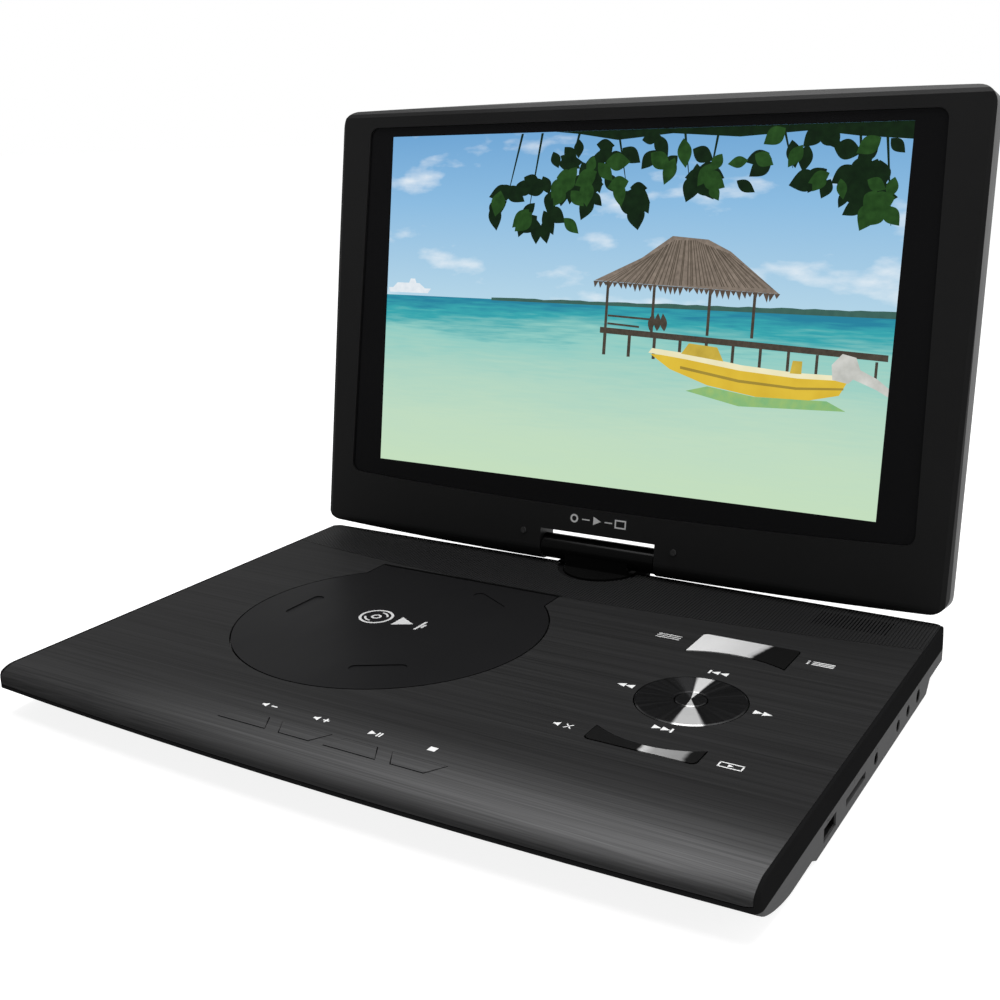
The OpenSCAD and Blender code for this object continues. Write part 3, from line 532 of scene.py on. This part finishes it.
def door_sign():
    """A plain disc with a play arrow, and two short lines beside it."""
    ink = printed("ink_silver", (0.55, 0.55, 0.55))
    x, y = DOOR_X - 2, DOOR_Y + 3
    outlines = ring(x - 9, y, 8.6, 7.3) + ring(x - 9, y, 2.6, 1.5, 20)
    outlines += ring(x - 9, y, 5.9, 4.9, 10, radians(20), radians(70))
    outlines += ring(x - 9, y, 5.9, 4.9, 10, radians(200), radians(70))
    outlines += [wedge(x + 8, y, 9.5, 10.5)]
    outlines += [bar(x + 17 + 0.9 * i, y, 1.3, 10.5 - 3.2 * i) for i in (0, 2)]
    prisms("door_sign", outlines, on_deck, "door", ink)


def screen_mark():
    """Three plain shapes in a row under the picture, a ring, an arrow and a frame, with dashes."""
    ink = printed("ink_mark", (0.72, 0.72, 0.72))
    v = 17.6
    outlines = ring(-13.5, v, 2.3, 1.35, 24)
    outlines += [wedge(0, v, 4.4, 4.4)]
    outlines += [bar(13.5, v + 1.9 * s, 6.4, 0.75) for s in (-1, 1)]
    outlines += [bar(13.5 + 2.85 * s, v, 0.75, 3.2) for s in (-1, 1)]
    outlines += [bar(s * 6.6, v, 4.4, 0.6) for s in (-1, 1)]
    prisms("screen_mark", outlines, on_screen, "screen", ink)


def side_signs():
    """Small dark signs over the sockets: plug, arrows, headphones, card and three-way fork."""
    ink = printed("ink_grey", (0.02, 0.02, 0.02))
    z = 10.9

    def put(name, outlines):
        prisms(name, outlines, on_side, "base", ink)

    put("sign_power", ring(45.6, z, 1.1, 0.75, 16)
        + [bar(43.1, z, 1.8, 0.4), bar(48.1, z, 1.8, 0.4)])
    put("sign_in", [bar(28.0, z, 3.0, 0.45), wedge(30.4, z, 1.8, 1.9)])
    put("sign_out", [bar(14.2, z, 3.0, 0.45), wedge(11.8, z, 1.8, 1.9, -1)])
    put("sign_phones", ring(-18.9, z - 0.6, 1.5, 1.1, 14, 0, pi)
        + [bar(-20.2, z - 0.7, 0.7, 1.1), bar(-17.6, z - 0.7, 0.7, 1.1)])
    put("sign_card", [[(-48.2, z - 1), (-43.2, z - 1), (-43.2, z + 0.6), (-43.9, z + 1.1),
                       (-48.2, z + 1.1)]])
    put("sign_serial", [bar(-76.8, z, 5.6, 0.35), wedge(-73.6, z, 1.2, 1.1),
                        disc(-79.8, z, 0.7, 16), bar(-76.2, z + 0.75, 0.9, 0.7),
                        bar(-77.9, z - 0.75, 0.9, 0.7)])


# ---------- the ribbed rear band ----------

def rear_band():
    """Fine upright ribs in place of the band's plain plate, with the speakers' slots open."""
    low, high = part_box("rear_band")
    left, right, rear = low.x / MM, high.x / MM, high.y / MM - DATUM_Y
    # The front edge bows towards the rear at both sides, and steps back round the disc door
    front_mid, rise = 47.2, 14.0
    door_left, door_right = DOOR[0].x / MM - DOOR_GAP, DOOR[1].x / MM + DOOR_GAP
    door_rear = DOOR[1].y / MM - DATUM_Y + DOOR_GAP
    door_shoulder = 21
    # The rear edge goes round the turret
    hinge_y, hinge_gap = TILT.y / MM - DATUM_Y, 23.3
    pitch, rib, sink, bottom = 1.6, 1.0, 0.28, -0.95
    slot_x, slot_half, slot_front, slot_rear = 140, 17.5, 70, 86
    bm = bmesh.new()
    count = int((right - left) / pitch)
    step = (right - left) / count

    def edge(x):
        y = front_mid + rise * (x / SIDE_X) ** 2
        beside_door = door_left + door_shoulder < x < door_right - door_shoulder
        return max(y, door_rear) if beside_door else y

    def back(x):
        if abs(x) < hinge_gap:
            return min(rear, hinge_y - (hinge_gap ** 2 - x ** 2) ** 0.5)
        return rear

    def column(x0, x1, top, y0, y1):
        corners = [(x0, y0), (x1, y0), (x1, y1), (x0, y1)]
        base = [bm.verts.new(on_deck(a, b, bottom)) for a, b in corners]
        crown = [bm.verts.new(on_deck(a, b, top)) for a, b in corners]
        close_plate(bm, base, crown)

    for i in range(count):
        x = left + i * step
        mid = x + step / 2
        y0, y1 = edge(mid), back(mid)
        over_speaker = abs(abs(mid) - slot_x) < slot_half
        column(x, x + rib, 0.0, y0, y1)
        if over_speaker:
            column(x + rib, x + step, -sink, y0, slot_front)
            column(x + rib, x + step, -sink, slot_rear, y1)
        else:
            column(x + rib, x + step, -sink, y0, y1)
    bmesh.ops.recalc_face_normals(bm, faces=bm.faces)
    piece = add_mesh("ribbed_band", bm)
    plastic = moulded("band_plastic", (0.018, 0.018, 0.0184), 0.5, 1800, gloss=0.04)
    piece.data.materials.append(plastic)
    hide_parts("rear_band")
    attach(piece, "base")


# ---------- the picture on the display ----------

def picture(a, b, h=0.0):
    """A point of the picture: across from its left edge and up from its lower edge, in mm."""
    return on_screen(a - PICTURE_HALF, PICTURE_LOW + b, GLASS_OUT - FACE_OUT + 0.02 + h)


def picture_backdrop():
    """Sky and lagoon in one sheet: clouds over bands of sea that pale towards the sand."""
    shader = shining("picture_view")
    up = shader.split(shader.add("ShaderNodeTexCoord").outputs["UV"])[1]
    ripple = shader.noise(shader.place((16, 120, 1), source="UV"), 1.0, 4)
    patches = shader.noise(shader.place((3, 14, 1), source="UV"), 1.0, 3)
    wave = shader.maths("MULTIPLY", shader.maths("SUBTRACT", ripple, 0.5), 0.10)
    drift = shader.maths("MULTIPLY", shader.maths("SUBTRACT", patches, 0.5), 0.16)
    depth = shader.maths("ADD", up, shader.maths("ADD", wave, drift))
    sea = shader.ramp(depth, [
        (0.0, (0.55, 0.73, 0.52)), (0.15, (0.52, 0.71, 0.54)), (0.30, (0.42, 0.66, 0.55)),
        (0.41, (0.28, 0.60, 0.55)), (0.475, (0.04, 0.38, 0.42)), (0.52, (0.02, 0.22, 0.34))])
    sky = shader.ramp(up, [(0.52, (0.45, 0.66, 0.80)), (0.62, (0.38, 0.60, 0.78)),
                           (0.8, (0.26, 0.50, 0.75)), (1.0, (0.16, 0.38, 0.66))])
    cover = shader.span(shader.noise(shader.place((5.5, 9, 1), source="UV"), 1.0, 6), 0.56, 0.75)
    clouded = shader.blend(cover, sky, (0.86, 0.9, 0.93, 1))
    view = shader.blend(shader.maths("GREATER_THAN", up, HORIZON), sea, clouded)
    shader.put(shader.surface, "Emission Color", view)
    bm = bmesh.new()
    uv = bm.loops.layers.uv.new("uv")
    corners = [(0, 0), (1, 0), (1, 1), (0, 1)]
    top = [bm.verts.new(picture(a * PICTURE_W, b * PICTURE_H)) for a, b in corners]
    base = [bm.verts.new(picture(a * PICTURE_W, b * PICTURE_H, -0.015)) for a, b in corners]
    faces = close_plate(bm, base, top)
    corner_of = {vertex: corners[i % 4] for i, vertex in enumerate(top + base)}
    for face in faces:
        for loop in face.loops:
            loop[uv].uv = corner_of[loop.vert]
    sheet = add_mesh("picture_view", bm)
    sheet.data.materials.append(shader.material)
    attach(sheet, "screen")
    keep_glow_in(sheet)


def glow(name, tone_a, tone_b, scale):
    """A glowing material mottled between two tones."""
    shader = shining(name)
    tone = shader.noise(shader.place(), scale, 4)
    shader.put(shader.surface, "Emission Color", shader.two_tones(tone, tone_a, tone_b))
    return shader.material


def keep_glow_in(piece):
    """The picture is seen, but it doesn't tint the base below it."""
    piece.visible_glossy = False
    piece.visible_diffuse = False


def picture_part(name, outlines, material, layer):
    """Flat parts of the picture. Parts on a higher layer cover those below."""
    low = 0.02 * layer
    keep_glow_in(prisms(name, outlines, picture, "screen", material, low, low + 0.015))


def leaf(x, y, length, turn, width):
    """A pointed oval leaf."""
    outline = []
    for i in range(13):
        t = i / 12
        outline.append((t * length, width * length * 0.5 * sin(pi * t) * (1 - 0.35 * t)))
    outline += [(a, -b) for a, b in outline[-2:0:-1]]
    c, s = cos(turn), sin(turn)
    return [(x + a * c - b * s, y + a * s + b * c) for a, b in outline]


def moved(outlines):
    return [[(a + ASHORE, b) for a, b in outline] for outline in outlines]


def moored(outlines):
    """The boat's place: drawn steeper, so it is turned level, shortened and moved along."""
    bow, shorter, along, level, drop = 153, 0.94, 12, 0.085, 3.6
    return [[(bow + shorter * (a - bow) + along, b + level * (a - bow) - drop)
             for a, b in outline] for outline in outlines]


def picture_shore():
    """The far shore, low and dark, thicker to the right."""
    horizon = HORIZON * PICTURE_H
    random.seed(5)
    shore = [(70 + 216.5 * i / 40, horizon + 0.4 + 1.6 * i / 40 + 0.6 * random.random())
             for i in range(41)]
    outlines = [[(x0, horizon - 0.7), (x1, horizon - 0.7), (x1, y1), (x0, y0)]
                for (x0, y0), (x1, y1) in zip(shore, shore[1:])]
    picture_part("picture_shore", outlines,
                 glow("picture_shore", (0.03, 0.09, 0.08), (0.06, 0.15, 0.12), 300), 1)


def picture_pier():
    """A pier on piles, running off to the right, with the shelter's posts, rails and plants."""
    y = PIER_Y
    pier = [[(128, y - 1.5), (276, y - 7.1), (276, y - 4.1), (128, y + 1.5)]]
    pier += [bar(131 + 14 * i, y - 6 - 0.55 * i, 1.8 - 0.05 * i, 13 - 0.5 * i) for i in range(11)]
    pier += [bar(x, y + 13, 1.5, 26) for x in (131, 157, 187, 210)]
    pier += [[(132, y + 3), (150, y + 2), (150, y + 3), (132, y + 4)],
             [(132, y + 7), (158, y + 6), (158, y + 7), (132, y + 8)]]
    pier += [leaf(160 + 4 * i, y + 1, 9, radians(90 + 9 * i), 0.5) for i in (-1, 0, 1)]
    picture_part("picture_pier", moved(pier),
                 glow("picture_wood", (0.03, 0.025, 0.02), (0.10, 0.08, 0.06), 500), 2)


def picture_shelter():
    """A shaggy hipped roof of thatch, with its fringe and strands."""
    random.seed(3)
    eaves, crest = PIER_Y + 24, PIER_Y + 48
    roof = [[(123, eaves + 1), (222, eaves - 2.4), (196, crest - 7), (184, crest - 1.5),
             (165, crest), (149, crest - 11)]]
    picture_part("picture_roof", moved(roof),
                 glow("picture_thatch", (0.10, 0.08, 0.065), (0.33, 0.27, 0.22), 420), 3)
    fringe = []
    for i in range(36):
        x = 124 + 97 * i / 35
        y = eaves + 0.8 - 3.2 * i / 35
        tip = (x + random.uniform(-1, 1), y - random.uniform(2, 4.5))
        fringe.append([(x - 1.5, y), (x + 1.5, y), tip])
    picture_part("picture_roof_fringe", moved(fringe),
                 glow("picture_roof_fringe", (0.03, 0.02, 0.015), (0.16, 0.12, 0.09), 300), 4)
    strands = []
    for i in range(46):
        t = (i + random.random()) / 46
        x0, x1 = 150 + 45 * t, 126 + 93 * t
        slope = 10 * (0.35 - t) / 0.35 if t < 0.35 else 6 * max(0, t - 0.6) / 0.4
        top_y = crest - 2 - slope
        strands.append([(x0, top_y), (x0 + 0.5, top_y), (x1 + 0.6, eaves), (x1, eaves)])
    picture_part("picture_roof_strands", moved(strands),
                 glow("picture_roof_strands", (0.05, 0.04, 0.03), (0.16, 0.13, 0.10), 300), 5)


def picture_boat():
    """A small motor boat and its reflection."""
    hull = [[(154, 74), (166, 66), (188, 57.5), (215, 51.5), (243, 49.5), (258, 51.5),
             (262, 58.5), (236, 60.5), (205, 65), (175, 71.5)]]
    gunwale = [[(153, 74.6), (175, 70.6), (205, 64.4), (236, 60), (262, 58.2), (262, 60.4),
                (236, 62.6), (206, 67), (176, 73.4), (155, 76.8)]]
    stripe = [[(172, 66), (205, 58.6), (236, 54.6), (260, 54), (260, 55), (236, 55.8), (205, 60),
               (172, 67.4)]]
    cabin = [[(172, 73.5), (196, 69), (192, 76), (176, 78.5)],
             [(232, 62.5), (238, 62), (238, 68), (233, 68.5)]]
    motor = [[(254, 59), (262, 57), (268, 62), (265, 69), (258, 71), (253, 66)],
             [(262, 60), (276, 54), (283, 50), (284, 53), (276, 59), (266, 64)]]
    reflection = [[(176, 55), (206, 47), (262, 44), (252, 49), (214, 51.5), (188, 57)]]
    for part, outlines, tone_a, tone_b, scale, layer in (
            ("picture_hull", hull, (0.62, 0.40, 0.03), (0.80, 0.58, 0.06), 80, 5),
            ("picture_gunwale", gunwale, (0.75, 0.70, 0.42), (0.92, 0.87, 0.62), 90, 6),
            ("picture_stripe", stripe, (0.3, 0.2, 0.03), (0.4, 0.3, 0.05), 90, 7),
            ("picture_cabin", cabin, (0.35, 0.25, 0.03), (0.75, 0.55, 0.08), 120, 7),
            ("picture_motor", motor, (0.35, 0.36, 0.33), (0.8, 0.8, 0.76), 160, 8),
            ("picture_reflection", reflection, (0.12, 0.42, 0.22), (0.4, 0.55, 0.15), 200, 1)):
        picture_part(part, moored(outlines), glow(part, tone_a, tone_b, scale), layer)


def picture_ship():
    """A far ship, plain and pale."""
    ship = [[(2, 95.6), (28, 95.6), (30, 98.2), (1, 98.2)],
            [(4, 98.2), (26, 98.2), (22, 101), (7, 101)],
            [(15, 101), (20, 101), (19, 103.4), (16, 103.4)]]
    picture_part("picture_ship", ship,
                 glow("picture_ship", (0.62, 0.70, 0.78), (0.9, 0.93, 0.95), 400), 2)


def picture_foliage():
    """Foliage hanging into the upper edge, as oval leaves on thin twigs."""
    random.seed(21)
    high = PICTURE_H
    # Each clump of leaves: its place across, how far it hangs, its spread and its leaves
    clumps = [(92, 40, 10, 9), (112, 26, 20, 26), (132, 16, 18, 20), (150, 30, 9, 8),
              (168, 8, 16, 9), (190, 20, 12, 14), (214, 10, 22, 10), (240, 6, 20, 8),
              (262, 18, 20, 26), (276, 34, 9, 16), (72, 34, 6, 5), (80, 26, 7, 6)]
    leaves, young = [], []
    for x, drop, spread, count in clumps:
        for _ in range(count):
            cx = x + random.gauss(0, spread * 0.45)
            cy = high - drop - random.gauss(0, spread * 0.35)
            points = leaf(cx, cy, random.uniform(9, 15), random.uniform(-pi, 0.2),
                          random.uniform(0.6, 0.85))
            if all(0.5 < a < PICTURE_W - 0.5 and b < high - 0.4 for a, b in points):
                (young if random.random() < 0.3 else leaves).append(points)
    # Each twig: its place across, how far it hangs and how far its tip leans
    twigs = [[(x - 0.5, high - 0.5), (x + 0.9, high - 0.5), (x + lean + 0.3, high - drop),
              (x + lean, high - drop)]
             for x, drop, lean in ((96, 42, -6), (118, 34, -8), (140, 26, 6), (176, 24, 4),
                                   (194, 30, -4), (226, 20, 6), (262, 38, 4), (274, 46, 6),
                                   (84, 36, -8))]
    canopy = [[(104, high - 0.05), (286.4, high - 0.05), (286.4, high - 8), (262, high - 6),
               (240, high - 3), (205, high - 5), (170, high - 2.5), (140, high - 5),
               (118, high - 1.5)]]
    picture_part("picture_leaves", leaves + twigs + canopy,
                 glow("picture_leaves", (0.002, 0.006, 0.003), (0.008, 0.028, 0.008), 260), 9)
    picture_part("picture_young_leaves", young,
                 glow("picture_young_leaves", (0.004, 0.02, 0.004), (0.03, 0.10, 0.02), 260), 10)


# ---------- the CAD nodes ----------

def finish_cad_nodes():
    """A material for every CAD node that stays in view."""
    shell = moulded("shell_plastic", (0.075, 0.075, 0.076), 0.55, 2200, gloss=0.02)
    black = lacquered("rim_lacquer", (0.009, 0.009, 0.0092), 0.35, 0.06, 0.0)
    deck = brushed("deck_brushed", (0.0205, 0.0205, 0.0208))
    door = lacquered("door_lacquer", (0.0105, 0.0105, 0.011), 0.35, 0.08, 0.01)
    well = moulded("well_plastic", (0.018, 0.018, 0.018), 0.45)
    sheet = metal("sheet_steel", (0.55, 0.55, 0.56), 0.35)
    ground = metal("ground_steel", (0.68, 0.68, 0.69), 0.16)
    can = metal("motor_can", (0.48, 0.48, 0.49), 0.28)
    rubber = soft_rubber("black_rubber")
    board = circuit("green_board")
    chip = moulded("chip_epoxy", (0.02, 0.02, 0.021), 0.4, 1500)
    contact = metal("plated_contact", (0.62, 0.6, 0.55), 0.25)
    film = lacquered("cell_film", (0.02, 0.05, 0.2), 0.3)
    cone = moulded("speaker_paper", (0.03, 0.03, 0.031), 0.7, 900, 0.0001)
    # Black plastic, painted darker still as the shade in the sockets' openings
    socket = moulded("socket_plastic_painted_shade", (0.004, 0.004, 0.004), 0.5, gloss=0.0)
    # The USB shield is painted dark as the shade in its opening, not the bright tin it is
    stamped = metal("stamped_shield_painted_shade", (0.16, 0.16, 0.16), 0.3)
    zinc = metal("zinc_screw", (0.42, 0.42, 0.44), 0.3)
    hinge = lacquered("hinge_lacquer", (0.005, 0.005, 0.005), 0.14, 0.06, 0.12)
    frame_skin = moulded("screen_frame", (0.010, 0.010, 0.0102), 0.42, 2400, 0.00002)
    cover = moulded("screen_back", (0.012, 0.012, 0.0122), 0.4, 2400, 0.00002)
    mask = lacquered("window_gloss", (0.006, 0.006, 0.0065), 0.08, 0.03, 0.12)
    panel = lacquered("panel_off", (0.01, 0.011, 0.013), 0.2)
    clear = lacquered("light_plate", (0.75, 0.8, 0.82), 0.1)
    lens = Shader("lens_coating", 0.04, 0.0, Coat_Weight=1.0)
    tint = lens.noise(lens.place(), 400)
    lens.paint(lens.two_tones(tint, (0.05, 0.07, 0.14), (0.09, 0.05, 0.13)))
    pad = spun("spun_pad_painted_sheen", (0.016, 0.016, 0.0165))
    # Painted reflections on the two keys: a silver sweep into dark on the setup key, a bright band
    # between dark ends on the mute key
    dark_reflection = (0.008, 0.008, 0.008)
    setup_key_reflection = painted_reflection_key("setup_key_painted_reflection", (116.2, 26), [
        (0.0, (0.92, 0.92, 0.92)), (0.42, (0.75, 0.75, 0.75)), (0.47, (0.6, 0.6, 0.6)),
        (0.52, dark_reflection), (1.0, dark_reflection)], 0.24)
    mute_key_reflection = painted_reflection_key("mute_key_painted_reflection", (107, -78), [
        (0.0, dark_reflection), (0.5, dark_reflection), (0.54, (0.62, 0.62, 0.62)), (0.64, (0.36, 0.36, 0.36)),
        (0.86, (0.3, 0.3, 0.3)), (0.92, dark_reflection)], -0.08)
    table = {
        "bottom_shell": shell, "top_shell": black, "deck_plate": deck, "disc_well": well,
        "loader_frame": sheet, "guide_rods": ground,
        "sled_motor": can, "spindle_motor": can, "chassis_dampers": rubber,
        "main_board": board, "board_chips": chip, "key_board": board, "key_switches": contact,
        "front_key_board": board, "battery_cells": film, "left_speaker": cone,
        "right_speaker": cone,
        "dc_jack": socket, "av_in_jack": socket, "av_out_jack": socket, "phone_jack": socket,
        "card_slot": socket, "usb_socket": stamped, "rubber_feet": rubber, "shell_screws": zinc,
        "door_magnet": can, "hinge_mount": sheet, "turret": hinge, "turret_ring": sheet,
        "lid_bezel": frame_skin, "lid_cover": cover, "window_mask": mask, "lcd_panel": panel,
        "light_guide": clear, "backlight_tray": sheet, "driver_board": board, "tilt_shaft": ground,
        "tilt_brackets": sheet, "lid_bumpers": rubber, "lid_screws": zinc, "disc_door": door,
        "door_pins": ground, "door_strike": sheet, "turntable": well, "hub_clips": contact,
        "pickup_sled": can, "pickup_lens": lens.material, "lead_screw": ground, "nav_carrier": chip,
        "nav_ring": pad, "enter_key": pad, "setup_menu_key": setup_key_reflection, "mute_mode_key": mute_key_reflection,
        "vol_down_key": deck, "vol_up_key": deck, "play_key": deck, "stop_key": deck,
        "power_switch": socket,
    }
    for name, material in table.items():
        slots = NODES[name].data.materials
        slots.clear()
        slots.append(material)


make_camera()
make_lights()
make_floor()
finish_cad_nodes()
rear_band()
picture_backdrop()
picture_shore()
picture_pier()
picture_shelter()
picture_boat()
picture_ship()
picture_foliage()
deck_signs()
door_sign()
screen_mark()
side_signs()

bpy.context.scene.view_settings.view_transform = "Standard"
bpy.context.view_layer.update()
